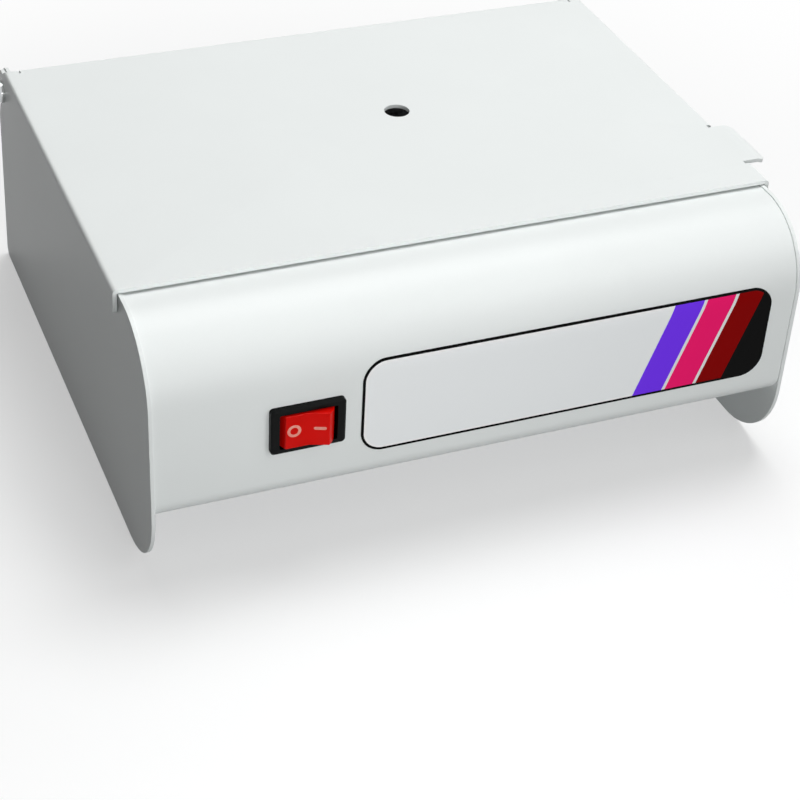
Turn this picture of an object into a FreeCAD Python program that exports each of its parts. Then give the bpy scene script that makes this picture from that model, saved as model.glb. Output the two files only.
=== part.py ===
import FreeCAD, Part
import math
import os

# Small bench-top dry heat sterilizer, in millimetres, Z up.
# X runs along the wide front, Y from the front to the rear, Z from the bench up.
# While the pieces are built, X is zero half way between the side panels and Y is zero at the
# lid's front edge. At the end all of them move together, so that the origin lies on the bench
# in the middle of the whole object's footprint.

os.makedirs("parts", exist_ok=True)

V = FreeCAD.Vector

# Driving dimensions of the housing.
body_width = 200.0
foot_height = 23.0
body_height = 60.9
sheet = 1.2
thin_sheet = 1.0
running_gap = 0.3
fit_gap = 0.05
overrun = 5.0

# Side panels: flat plates whose lower front corner is the foot.
front_reach = 27.0
shoulder_radius = 22.0
edge_proud = 0.4
foot_radius = 25.0
rear_foot_radius = 3.0
rear_step = 17.0
rear_lean = 6.0

# Hinge line of the lid.
hinge_behind_lid = 2.0
hinge_drop = 8.8
pin_radius = 2.0
pin_head_radius = 3.6
pin_head_height = 2.0
pin_head_round = 1.2
pin_tail_radius = 3.0
pin_tail_height = 1.2
washer_radius = 4.5

# Lid.
lid_rear_room = 22.0
skirt_height = 9.0
skirt_gap = 0.3
skirt_corner_radius = 4.0
lid_rear_corner_radius = 3.0
ear_radius = 7.0
ear_run = 16.0
ear_root_radius = 8.0
lid_bend_radius = 1.4
rear_flange_drop = 8.0
rear_flange_inset = 2.4
rear_flange_relief = 0.6
rear_bend_radius = 3.0
tab_reach = 6.0
tab_width = 22.0
tab_start = 12.5
tab_tip = 2.6
tab_tip_drop = 0.8
tab_corner_radius = 2.0
tab_relief = 1.5
port_radius = 4.0
port_x = 9.3
port_offset_y = 10.6

# Front panel and base.
front_top_return = 6.0
front_gap = 0.7
curl_radius = 7.0
front_bottom_return = 19.0
rear_flange_length = 12.0
base_lap = 12.0
tray_flange_height = 12.0
flange_bend_radius = 2.0
deck_lap = 5.0

# Chamber tub and what surrounds it.
chamber_side_room = 9.0
chamber_width = 100.0
chamber_front = 12.0
tub_wall = 1.0
tub_corner_radius = 8.0
tub_floor_radius = 5.0
rim_width = 4.0
rim_thickness = 1.0
rim_rivet_radius = 1.8
rim_rivet_head = 0.4
rim_rivet_shank = 1.2
rim_rivet_tail = 0.8
rim_rivet_inset = 22.0
wrap_thickness = 5.0
wrap_top_gap = 1.0
pad_thickness = 5.0
pad_margin = 6.0

# Heating element under the tub.
heater_side_room = 21.0
heater_rear_room = 10.0
heater_thickness = 3.0
clamp_margin = 2.0
clamp_thickness = 1.2
stud_radius = 2.0
stud_tail = 1.0
stud_inset_x = 20.0
stud_inset_y = 18.0
nut_radius = 3.6
nut_thickness = 2.4
heater_tag_length = 6.0
heater_tag_width = 5.0
heater_tag_gap = 4.5
heater_tag_reach = 8.5
pad_air_gap = 0.4

# Thermostat and thermal fuse on the tub's rear wall.
thermostat_x = 35.0
thermostat_rise = 10.0
thermostat_radius = 7.8
thermostat_depth = 7.0
thermostat_ear_length = 24.0
thermostat_ear_width = 9.0
thermostat_ear = 0.8
thermostat_blade_gap = 7.0
thermostat_screw_spacing = 20.0
window_margin = 1.2
shelf_gap = 0.2
fuse_x = -30.0
fuse_rise = 11.0
fuse_radius = 2.0
fuse_length = 9.0
fuse_window = 40.0
fuse_window_height = 16.0
clip_thickness = 0.5
clip_width = 4.0
clip_foot = 5.0

# Small screws and terminals.
screw_radius = 1.5
screw_head_radius = 2.8
screw_head_height = 1.8
screw_length = 6.0
small_screw_radius = 1.2
small_head_radius = 2.0
small_head_height = 1.0
small_screw_bite = 0.9
base_screw_inset = 25.0
blade_width = 4.8
blade_thickness = 0.8
blade_length = 8.0
block_length = 32.0
block_width = 14.0
block_height = 12.0
block_x = -5.0
block_gap = 15.0
block_ways = 3
block_screw_radius = 1.6
block_screw_head = 2.0
block_screw_depth = 4.0

# Internal leads: three lie side by side in lanes round the left of the tub.
lead_radius = 1.0
lead_bend_radius = 8.0
arc_run_share = 0.45
lead_panel_gap = 3.8
lead_wrap_gap = 5.0
lead_block_gap = 9.0
lead_pitch = 3.5
lead_lowest = 2.5
lead_step = 2.5
lead_tail = 7.0
lead_swing = 16.0
lead_slope_run = 20.0
lead_rear_gap = 3.5

# Rocker switch in the front panel.
switch_inset = 45.0
switch_rise = 24.8
bezel_width = 22.0
bezel_height = 15.0
bezel_thickness = 2.0
bezel_corner_radius = 1.2
bezel_bevel = 0.5
housing_width = 19.2
housing_height = 12.8
housing_depth = 13.0
housing_wall = 0.8
window_half_width = 8.5
rocker_height = 11.0
rocker_gap = 0.4
rocker_sweep = 8.3
rocker_pivot_depth = 2.0
rocker_valley = 2.6
rocker_travel = 20.0
rocker_hub_radius = 2.6
rocker_pin_radius = 1.1
rocker_pin_length = 0.7
rocker_skirt_drop = 0.5
terminal_spacing = 6.5

# Cord gland in the rear panel.
gland_inset = 40.0
gland_bore_radius = 3.2
gland_thread_radius = 5.0
gland_thread_length = 9.0
gland_flange_radius = 8.0
gland_flange = 2.4
gland_nose_radius = 6.0
gland_nose_length = 4.0
gland_nose_tip_radius = 4.6
gland_nut_radius = 7.5
gland_nut_thickness = 3.0

# Front label.
label_switch_gap = 5.3
label_edge_gap = 9.0
label_rise = 10.5
label_wrap_angle = 13.0
label_thickness = 0.2
label_glue = 0.03
label_corner_radius = 7.0

# Lid liner under the lid.
liner_gap = 3.0
liner_depth = 6.0
liner_wall = 0.8
liner_corner_radius = 6.0
liner_stud_inset_x = 26.0
liner_stud_inset_y = 20.0
liner_stud_radius = 1.5
liner_nut_radius = 3.0
liner_nut_thickness = 2.0
liner_stud_tail = 0.4
sleeve_wall = 1.0
sleeve_lip_radius = 7.0
sleeve_lip = 0.8

# Vents in the base plate.
vent_count = 9
vent_pitch = 14.0
vent_width = 3.0
vent_length = 16.0
vent_row_gap = 4.0

# Places that follow from the sizes above, first those of the housing's height.
overall_height = foot_height + body_height
body_floor_height = foot_height
lid_inside_height = overall_height - sheet
hinge_z = overall_height - hinge_drop
panel_top = lid_inside_height - running_gap
front_top = lid_inside_height - front_gap
shoulder_z = front_top - shoulder_radius
skirt_bottom = overall_height - skirt_height
deck_top = front_top - thin_sheet
rim_top = deck_top + rim_thickness
base_bottom = body_floor_height + thin_sheet
base_top = base_bottom + thin_sheet
liner_bottom = lid_inside_height - liner_depth
switch_z = body_floor_height + switch_rise
label_bottom = body_floor_height + label_rise

# Heater and tub stand above the pad on the base plate.
stud_end = base_top + pad_thickness + pad_air_gap
clamp_bottom = stud_end + stud_tail + nut_thickness
heater_bottom = clamp_bottom + clamp_thickness
heater_top = heater_bottom + heater_thickness
tub_floor_height = heater_top
thermostat_z = tub_floor_height + thermostat_rise
fuse_z = tub_floor_height + fuse_rise
shelf_top = thermostat_z + thermostat_radius + shelf_gap + thin_sheet
rear_shelf_height = shelf_top + thin_sheet
gland_height = (body_floor_height + rear_shelf_height) / 2

# Places across the width.
half_width = body_width / 2
panel_inside = half_width - sheet
skirt_inside = half_width + skirt_gap
skirt_outside = skirt_inside + sheet
chamber_length = body_width - 2 * chamber_side_room
tub_half_length = chamber_length / 2 + tub_wall
rim_rivet_spacing = tub_half_length - rim_rivet_inset
heater_length = chamber_length - 2 * heater_side_room
stud_spacing_x = heater_length - 2 * stud_inset_x
liner_stud_spacing_x = chamber_length - 2 * liner_stud_inset_x
base_screw_spacing = body_width - 2 * base_screw_inset
switch_x = switch_inset - half_width
gland_x = gland_inset - half_width
label_left = switch_x + bezel_width / 2 + label_switch_gap
label_right = half_width - label_edge_gap

# Places from the front to the rear.
deck_front = front_top_return - deck_lap
rocker_pivot_y = rocker_pivot_depth - front_reach
bezel_front_y = -front_reach - bezel_thickness
chamber_rear = chamber_front + chamber_width
chamber_middle_y = chamber_front + chamber_width / 2
tub_front = chamber_front - tub_wall
tub_rear = chamber_rear + tub_wall
heater_width = chamber_width - 2 * heater_rear_room
stud_spacing_y = heater_width - 2 * stud_inset_y
liner_stud_spacing_y = chamber_width - 2 * liner_stud_inset_y
port_y = chamber_middle_y + port_offset_y
deck_rear = tub_rear + wrap_thickness + running_gap + thin_sheet
vent_row_y = tub_rear + vent_row_gap
block_y = tub_rear + block_gap
lid_depth = chamber_rear + lid_rear_room
hinge_y = lid_depth + hinge_behind_lid
rear_top_reach = hinge_y + rear_step
rear_bottom_reach = rear_top_reach + rear_lean
rear_slope = rear_lean / rear_shelf_height


def box(x, y, z):
    """Block between two X, two Y and two Z values, each given as a pair."""
    size = V(x[1] - x[0], y[1] - y[0], z[1] - z[0])
    return Part.makeBox(size.x, size.y, size.z, V(x[0], y[0], z[0]))


def rod(start, end, radius):
    """Round bar from one point to another."""
    return Part.makeCylinder(radius, (end - start).Length, start, end - start)


def hexagon(start, end, radius):
    """Six-sided bar from one point to another, measured to its corners."""
    steps = [V(math.cos(math.radians(60 * i)), math.sin(math.radians(60 * i)), 0) for i in range(7)]
    wire = Part.makePolygon([step * radius for step in steps])
    bar = Part.Face(wire).extrude(V(0, 0, (end - start).Length))
    bar.Placement = FreeCAD.Placement(start, FreeCAD.Rotation(V(0, 0, 1), end - start))
    return bar


def rounded_edges(points, radii, closed):
    """Lines through the points, with a tangent arc at each corner whose radius isn't zero."""
    knots = []
    for i, at in enumerate(points):
        if radii[i] == 0:
            knots.append((at, at))
            continue
        back = (points[i - 1] - at).normalize()
        ahead = (points[(i + 1) % len(points)] - at).normalize()
        half = back.getAngle(ahead) / 2
        reach = radii[i] / math.tan(half)
        centre = at + (back + ahead).normalize() * (radii[i] / math.sin(half))
        middle = centre + (at - centre).normalize() * radii[i]
        knots.append((at + back * reach, at + ahead * reach, middle))
    edges = []
    for i, knot in enumerate(knots):
        if len(knot) == 3:
            edges.append(Part.Arc(knot[0], knot[2], knot[1]).toShape())
        if not closed and i == len(knots) - 1:
            break
        start, end = knot[1], knots[(i + 1) % len(knots)][0]
        if not start.isEqual(end, fit_gap / 1000):
            edges.append(Part.makeLine(start, end))
    return edges


def prism(points, radii, along):
    """Flat outline with rounded corners, carried along a vector."""
    wire = Part.Wire(rounded_edges(points, radii, True))
    return Part.Face(wire).extrude(along)


def slab(x, y, z, radius):
    """Block with four rounded upright corners."""
    corners = [V(x[0], y[0], z[0]), V(x[1], y[0], z[0]), V(x[1], y[1], z[0]), V(x[0], y[1], z[0])]
    return prism(corners, [radius] * 4, V(0, 0, z[1] - z[0]))


def bent_sheet(points, radii, thickness, along):
    """Sheet bent along a path of points, thickened to the left of the path seen against along."""
    normals = []
    for start, end in zip(points, points[1:]):
        normals.append(along.cross(end - start).normalize())
    inner = [points[0] + normals[0] * thickness]
    inner_radii = [0]
    for i in range(1, len(points) - 1):
        before, after = normals[i - 1], normals[i]
        inner.append(points[i] + (before + after) * (thickness / (1 + before.dot(after))))
        turn = along.dot((points[i] - points[i - 1]).cross(points[i + 1] - points[i]))
        inner_radii.append(radii[i] - math.copysign(thickness, turn))
    inner.append(points[-1] + normals[-1] * thickness)
    inner_radii.append(0)
    loop = points + inner[::-1]
    return prism(loop, radii + inner_radii[::-1], along)


def tube_along(points, radius):
    """Lead along a route: straight runs with tangent arcs, as large as the lead's bend or the runs allow."""
    radii = [0]
    for before, at, after in zip(points, points[1:], points[2:]):
        turn = (at - before).getAngle(after - at)
        run = min((at - before).Length, (after - at).Length)
        radii.append(min(arc_run_share * run / math.tan(turn / 2), lead_bend_radius))
    radii.append(0)
    path = Part.Wire(rounded_edges(points, radii, False))
    ring = Part.Wire(Part.makeCircle(radius, points[0], points[1] - points[0]))
    tube = path.makePipeShell([ring], True, False)
    least_arc = round(min(radii[1:-1]), 1)
    volume_share = round(tube.Volume / (math.pi * radius ** 2 * path.Length), 3)
    print("lead of", round(path.Length), "mm, least arc", least_arc, "mm, share of its volume", volume_share)
    return tube


def rear_face_y(z):
    """How far back the side panels' rear edge lies at a height."""
    return rear_bottom_reach - rear_slope * z


def side_panel(inner_x, outer_x):
    """Flat side panel with a rounded shoulder, the foot lobe and the hinge ear."""
    ear = panel_top - hinge_z
    face = front_reach + edge_proud
    drop_y = rear_top_reach - hinge_y
    drop_z = hinge_z - rear_shelf_height
    reach = math.hypot(drop_y, drop_z)
    lean = math.acos(ear / reach) - math.atan2(drop_z, drop_y)
    tip_y = hinge_y + ear * math.tan(math.pi / 4 - lean / 2)
    outline = [
        V(inner_x, -face, 0),
        V(inner_x, -face, panel_top),
        V(inner_x, tip_y, panel_top),
        V(inner_x, rear_top_reach, rear_shelf_height),
        V(inner_x, rear_bottom_reach, 0),
    ]
    radii = [foot_radius, shoulder_radius + edge_proud, ear, rear_foot_radius, rear_foot_radius]
    plate = prism(outline, radii, V(outer_x - inner_x, 0, 0))
    hole = rod(V(inner_x * 2, hinge_y, hinge_z), V(0, hinge_y, hinge_z), pin_radius + fit_gap)
    return plate.cut(hole)


def base_screw_places():
    """The four screws that hold the base plate, two at the front and two at the rear."""
    front_y = front_bottom_return - front_reach - base_lap / 2
    rear_y = rear_face_y(base_bottom) - edge_proud - rear_flange_length / 2
    return [(x, y) for x in (-base_screw_spacing / 2, base_screw_spacing / 2) for y in (front_y, rear_y)]


def base_screw_holes():
    """Holes for the base screws through flanges and base plate."""
    holes = []
    for x, y in base_screw_places():
        holes.append(rod(V(x, y, 0), V(x, y, base_top + overrun), screw_radius + fit_gap))
    return Part.makeCompound(holes)


def front_panel():
    """Sheet over the front: top strip, round shoulder, flat face, curl and bottom return."""
    path = [
        V(-panel_inside, front_top_return, front_top),
        V(-panel_inside, -front_reach, front_top),
        V(-panel_inside, -front_reach, body_floor_height),
        V(-panel_inside, front_bottom_return - front_reach, body_floor_height),
    ]
    radii = [0, shoulder_radius, curl_radius, 0]
    skin = bent_sheet(path, radii, thin_sheet, V(2 * panel_inside, 0, 0))
    half_w = housing_width / 2 + running_gap
    half_h = housing_height / 2 + running_gap
    cutout = box(
        (switch_x - half_w, switch_x + half_w),
        (-front_reach - overrun, -front_reach + overrun),
        (switch_z - half_h, switch_z + half_h),
    )
    return skin.cut(cutout).cut(base_screw_holes())


def rear_panel():
    """Sheet across the rear: top flange, leaning face and bottom flange, with the gland's hole."""
    top_y = rear_face_y(rear_shelf_height) - edge_proud
    bottom_y = rear_face_y(body_floor_height) - edge_proud
    path = [
        V(-panel_inside, bottom_y - rear_flange_length, body_floor_height),
        V(-panel_inside, bottom_y, body_floor_height),
        V(-panel_inside, top_y, rear_shelf_height),
        V(-panel_inside, top_y - rear_flange_length, rear_shelf_height),
    ]
    radii = [0, flange_bend_radius, flange_bend_radius, 0]
    skin = bent_sheet(path, radii, thin_sheet, V(2 * panel_inside, 0, 0))
    start = gland_point(-overrun)
    return skin.cut(rod(start, gland_point(overrun), gland_thread_radius + fit_gap)).cut(base_screw_holes())


def base_plate():
    """Bottom plate with turned-up sides and a row of vents behind the heater."""
    front_y = front_bottom_return - front_reach - base_lap
    rear_y = rear_face_y(base_bottom + tray_flange_height) - edge_proud - 2 * thin_sheet
    path = [
        V(panel_inside, front_y, base_bottom + tray_flange_height),
        V(panel_inside, front_y, base_bottom),
        V(-panel_inside, front_y, base_bottom),
        V(-panel_inside, front_y, base_bottom + tray_flange_height),
    ]
    radii = [0, flange_bend_radius, flange_bend_radius, 0]
    tray = bent_sheet(path, radii, thin_sheet, V(0, rear_y - front_y, 0))
    for i in range(vent_count):
        x = (i - (vent_count - 1) / 2) * vent_pitch
        tray = tray.cut(slab(
            (x - vent_width / 2, x + vent_width / 2),
            (vent_row_y - vent_length / 2, vent_row_y + vent_length / 2),
            (base_bottom - overrun, base_top + overrun),
            vent_width / 2 - fit_gap,
        ))
    return tray.cut(base_screw_holes())


def top_deck():
    """Sheet round the chamber's mouth, stepped down behind it to the rear shelf."""
    shelf_rear = rear_face_y(rear_shelf_height) - edge_proud - 2 * thin_sheet
    path = [
        V(panel_inside, deck_front, deck_top),
        V(panel_inside, deck_rear, deck_top),
        V(panel_inside, deck_rear, shelf_top),
        V(panel_inside, shelf_rear, shelf_top),
    ]
    radii = [0, flange_bend_radius, flange_bend_radius, 0]
    skin = bent_sheet(path, radii, thin_sheet, V(-2 * panel_inside, 0, 0))
    mouth = slab(
        (-tub_half_length - running_gap, tub_half_length + running_gap),
        (tub_front - running_gap, tub_rear + running_gap),
        (deck_top - overrun, deck_top + overrun),
        tub_corner_radius + running_gap,
    )
    return skin.cut(mouth).cut(rim_rivet_bars(rim_rivet_shank + fit_gap, overrun, overrun))


def rim_rivet_places():
    """Eight places round the tub's rim: three in front, three behind and one at each end."""
    middle = rim_width / 2
    row = (-rim_rivet_spacing, 0, rim_rivet_spacing)
    places = [(x, y) for x in row for y in (tub_front - middle, tub_rear + middle)]
    return places + [(x, chamber_middle_y) for x in (-tub_half_length - middle, tub_half_length + middle)]


def rim_rivet_bars(radius, above, below):
    """Round bars at every rim rivet, reaching above the rim and below the deck."""
    top = rim_top + above
    bottom = deck_top - thin_sheet - below
    return Part.makeCompound([rod(V(x, y, bottom), V(x, y, top), radius) for x, y in rim_rivet_places()])


def rim_rivets():
    """Low-headed rivets that hold the tub's rim on the deck."""
    rivets = []
    bottom = deck_top - thin_sheet
    for x, y in rim_rivet_places():
        shank = rod(V(x, y, bottom), V(x, y, rim_top), rim_rivet_shank)
        head = rod(V(x, y, rim_top), V(x, y, rim_top + rim_rivet_head), rim_rivet_radius)
        tail = rod(V(x, y, bottom - rim_rivet_tail), V(x, y, bottom), rim_rivet_radius)
        rivets.append(shank.fuse(head).fuse(tail).removeSplitter())
    return Part.makeCompound(rivets)


def rounded_floor(block, radius):
    """Block with its bottom edges rounded."""
    floor = block.BoundBox.ZMin
    edges = [edge for edge in block.Edges if edge.BoundBox.ZMax < floor + fit_gap]
    return block.makeFillet(radius, edges)


def stud_places():
    """Where the four studs stand under the tub's floor."""
    xs = (-stud_spacing_x / 2, stud_spacing_x / 2)
    ys = (chamber_middle_y - stud_spacing_y / 2, chamber_middle_y + stud_spacing_y / 2)
    return [(x, y) for x in xs for y in ys]


def stud_bars(radius, top, bottom):
    """Round bars at every heater stud between two heights."""
    return Part.makeCompound([rod(V(x, y, bottom), V(x, y, top), radius) for x, y in stud_places()])


def thermostat_screw_bars(radius, start_y, end_y):
    """Round bars at both thermostat screws between two Y values."""
    bars = []
    for side in (-thermostat_screw_spacing / 2, thermostat_screw_spacing / 2):
        x = thermostat_x + side
        bars.append(rod(V(x, start_y, thermostat_z), V(x, end_y, thermostat_z), radius))
    return bars


def heater_studs():
    """Four studs welded under the tub's floor."""
    return stud_bars(stud_radius, tub_floor_height, stud_end)


def chamber_tub():
    """Drawn tub with a flat rim and rounded corners."""
    outer = slab((-tub_half_length, tub_half_length), (tub_front, tub_rear), (tub_floor_height, rim_top),
                 tub_corner_radius)
    rim = slab(
        (-tub_half_length - rim_width, tub_half_length + rim_width),
        (tub_front - rim_width, tub_rear + rim_width),
        (deck_top, rim_top),
        tub_corner_radius + rim_width,
    )
    inner = slab(
        (-chamber_length / 2, chamber_length / 2),
        (chamber_front, chamber_rear),
        (tub_floor_height + tub_wall, rim_top + overrun),
        tub_corner_radius - tub_wall,
    )
    shell = rounded_floor(outer, tub_floor_radius).fuse(rim)
    shell = shell.cut(rounded_floor(inner, tub_floor_radius - tub_wall))
    shell = shell.cut(rim_rivet_bars(rim_rivet_shank + fit_gap, overrun, overrun))
    bite = tub_rear - small_screw_bite - fit_gap
    for bar in thermostat_screw_bars(small_screw_radius + fit_gap, bite, tub_rear + overrun):
        shell = shell.cut(bar)
    return shell


def insulation_wrap():
    """Felt band round the tub's walls, with windows for the thermostat and the fuse."""
    heights = (tub_floor_height, deck_top - thin_sheet - wrap_top_gap)
    outer = slab(
        (-tub_half_length - wrap_thickness, tub_half_length + wrap_thickness),
        (tub_front - wrap_thickness, tub_rear + wrap_thickness),
        heights,
        tub_corner_radius + wrap_thickness,
    )
    inner = slab((-tub_half_length, tub_half_length), (tub_front, tub_rear),
                 (heights[0] - overrun, heights[1] + overrun), tub_corner_radius)
    band = outer.cut(inner)
    half_l = thermostat_ear_length / 2 + window_margin
    half_h = thermostat_radius + window_margin
    depth = (tub_rear - fit_gap, tub_rear + wrap_thickness + overrun)
    band = band.cut(box((thermostat_x - half_l, thermostat_x + half_l), depth,
                        (thermostat_z - half_h, thermostat_z + half_h)))
    return band.cut(box((fuse_x - fuse_window / 2, fuse_x + fuse_window / 2), depth,
                        (fuse_z - fuse_window_height / 2, fuse_z + fuse_window_height / 2)))


def insulation_pad():
    """Felt pad on the base plate under the heater."""
    half = chamber_length / 2 - pad_margin
    return slab((-half, half), (chamber_front + pad_margin, chamber_rear - pad_margin),
                (base_top, base_top + pad_thickness), pad_margin)


def heater_tag_places():
    """X positions of the heater's tags: left of the fuse, and beside the lead behind the thermostat."""
    left = fuse_x - fuse_length / 2 - lead_tail - heater_tag_reach
    right = thermostat_blade_places()[1] + lead_swing - heater_tag_gap
    return left, right


def heater_tag_end():
    """Y of the rear ends of the heater's tags."""
    return chamber_middle_y + heater_width / 2 + heater_tag_length


def heater_tag_z():
    """Height of the middle of the heater's tags."""
    return heater_bottom + heater_thickness / 2


def heating_element():
    """Flat mica heater against the tub's floor, with two terminal tags behind."""
    half = heater_length / 2
    rear = chamber_middle_y + heater_width / 2
    plate = box((-half, half), (chamber_middle_y - heater_width / 2, rear), (heater_bottom, heater_top))
    half_tag = blade_thickness / 2
    for x in heater_tag_places():
        tag = box((x - heater_tag_width / 2, x + heater_tag_width / 2), (rear, heater_tag_end()),
                  (heater_tag_z() - half_tag, heater_tag_z() + half_tag))
        plate = plate.fuse(tag)
    return plate.cut(stud_bars(stud_radius + fit_gap, heater_top + overrun, heater_bottom - overrun))


def heater_clamp():
    """Steel plate that presses the heater against the tub."""
    half_x = heater_length / 2 + clamp_margin
    half_y = heater_width / 2 + clamp_margin
    plate = slab((-half_x, half_x), (chamber_middle_y - half_y, chamber_middle_y + half_y),
                 (clamp_bottom, heater_bottom), clamp_margin)
    return plate.cut(stud_bars(stud_radius + fit_gap, heater_top, clamp_bottom - overrun))


def nut(start, end, radius, bore):
    """Hexagon nut between two points."""
    return hexagon(start, end, radius).cut(rod(start, end, bore))


def heater_nuts():
    """Nuts on the heater's studs."""
    nuts = []
    for x, y in stud_places():
        nuts.append(nut(V(x, y, clamp_bottom - nut_thickness), V(x, y, clamp_bottom), nut_radius,
                        stud_radius + fit_gap))
    return Part.makeCompound(nuts)


def thermostat():
    """Round bimetal thermostat with two ears and two blades."""
    ears = box((thermostat_x - thermostat_ear_length / 2, thermostat_x + thermostat_ear_length / 2),
               (tub_rear, tub_rear + thermostat_ear),
               (thermostat_z - thermostat_ear_width / 2, thermostat_z + thermostat_ear_width / 2))
    for bar in thermostat_screw_bars(small_screw_radius + fit_gap, tub_rear - overrun, tub_rear + overrun):
        ears = ears.cut(bar)
    rear = tub_rear + thermostat_ear + thermostat_depth
    seat = V(thermostat_x, tub_rear, thermostat_z)
    body = rod(seat, V(thermostat_x, rear, thermostat_z), thermostat_radius)
    for x in thermostat_blade_places():
        body = body.fuse(blade(x, rear, thermostat_z))
    return body.fuse(ears)


def thermostat_blade_places():
    """X positions of the thermostat's blades."""
    return (thermostat_x - thermostat_blade_gap / 2, thermostat_x + thermostat_blade_gap / 2)


def thermostat_blade_end():
    """Y of the rear ends of the thermostat's blades."""
    return tub_rear + thermostat_ear + thermostat_depth + blade_length


def blade(x, front_y, z):
    """Upright push-on blade that points to the rear."""
    return box((x - blade_thickness / 2, x + blade_thickness / 2), (front_y, front_y + blade_length),
               (z - blade_width / 2, z + blade_width / 2))


def thermostat_screws():
    """Two small screws through the thermostat's ears into the tub's wall."""
    seat = tub_rear + thermostat_ear
    shanks = thermostat_screw_bars(small_screw_radius, tub_rear - small_screw_bite, seat)
    heads = thermostat_screw_bars(small_head_radius, seat, seat + small_head_height)
    return Part.makeCompound([shank.fuse(head) for shank, head in zip(shanks, heads)])


def fuse_axis_y():
    """Y of the thermal fuse's axis, just clear of the tub's wall."""
    return tub_rear + fuse_radius + fit_gap


def thermal_fuse():
    """Small sealed can beside the tub's rear wall."""
    y = fuse_axis_y()
    return rod(V(fuse_x - fuse_length / 2, y, fuse_z), V(fuse_x + fuse_length / 2, y, fuse_z), fuse_radius)


def fuse_clip():
    """Strap over the thermal fuse, welded to the tub's wall by its two feet."""
    y = fuse_axis_y()
    start = fuse_x - clip_width / 2
    end = fuse_x + clip_width / 2
    inner = fuse_radius + fit_gap
    outer = inner + clip_thickness
    strap = rod(V(start, y, fuse_z), V(end, y, fuse_z), outer)
    strap = strap.fuse(box((start, end), (tub_rear, y), (fuse_z - outer, fuse_z + outer)))
    reach = outer + clip_foot
    feet = (tub_rear, tub_rear + clip_thickness)
    strap = strap.fuse(box((start, end), feet, (fuse_z - reach, fuse_z + reach)))
    past = (start - overrun, end + overrun)
    bore = rod(V(past[0], y, fuse_z), V(past[1], y, fuse_z), inner)
    bore = bore.fuse(box(past, (tub_rear - overrun, y), (fuse_z - inner, fuse_z + inner)))
    return strap.cut(bore)


def block_way_places():
    """X positions of the terminal block's ways."""
    pitch = block_length / block_ways
    return [block_x + (i - (block_ways - 1) / 2) * pitch for i in range(block_ways)]


def terminal_block():
    """Ceramic terminal block on the base plate, with a screw well for each way."""
    body = box((block_x - block_length / 2, block_x + block_length / 2), (block_y, block_y + block_width),
               (base_top, base_top + block_height))
    top = base_top + block_height
    y = block_y + block_width / 2
    low = top - block_screw_depth
    for x in block_way_places():
        body = body.cut(rod(V(x, y, low), V(x, y, top + overrun), block_screw_radius + fit_gap))
    return body


def terminal_screws():
    """Clamping screws in the terminal block."""
    low = base_top + block_height - block_screw_depth
    y = block_y + block_width / 2
    return Part.makeCompound([
        rod(V(x, y, low), V(x, y, low + block_screw_head), block_screw_radius) for x in block_way_places()
    ])


def gland_point(distance):
    """Point on the gland's axis, at a distance outwards from the rear panel's face."""
    normal = V(0, 1, rear_slope).normalize()
    return V(gland_x, rear_face_y(gland_height) - edge_proud, gland_height) + normal * distance


def cord_gland():
    """Cord gland through the rear panel, with its bore open for a cord."""
    flange = rod(gland_point(0), gland_point(gland_flange), gland_flange_radius)
    nose = Part.makeCone(gland_nose_radius, gland_nose_tip_radius, gland_nose_length,
                         gland_point(gland_flange), gland_point(gland_flange) - gland_point(0))
    thread = rod(gland_point(-gland_thread_length), gland_point(0), gland_thread_radius)
    mouth = gland_flange + gland_nose_length
    bore = rod(gland_point(-gland_thread_length - overrun), gland_point(mouth + overrun), gland_bore_radius)
    return thread.fuse(flange).fuse(nose).cut(bore).removeSplitter()


def gland_nut():
    """Nut on the gland behind the rear panel."""
    inner = -thin_sheet - gland_nut_thickness
    return nut(gland_point(inner), gland_point(-thin_sheet), gland_nut_radius, gland_thread_radius + fit_gap)


def base_screws():
    """Pan-head screws up through the bottom flanges into the base plate."""
    screws = []
    for x, y in base_screw_places():
        head_low = body_floor_height - screw_head_height
        head = rod(V(x, y, head_low), V(x, y, body_floor_height), screw_head_radius)
        rim = [edge for edge in head.Edges if edge.BoundBox.ZMax < head_low + fit_gap]
        head = head.makeFillet(screw_head_height / 2, rim)
        shank = rod(V(x, y, body_floor_height), V(x, y, body_floor_height + screw_length), screw_radius)
        screws.append(shank.fuse(head))
    return Part.makeCompound(screws)


def switch_slot(half_x, half_z, y, radius):
    """Rounded upright block on the switch's axis between two Y values."""
    corners = [
        V(switch_x - half_x, y[0], switch_z - half_z),
        V(switch_x + half_x, y[0], switch_z - half_z),
        V(switch_x + half_x, y[0], switch_z + half_z),
        V(switch_x - half_x, y[0], switch_z + half_z),
    ]
    return prism(corners, [radius] * 4, V(0, y[1] - y[0], 0))


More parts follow.
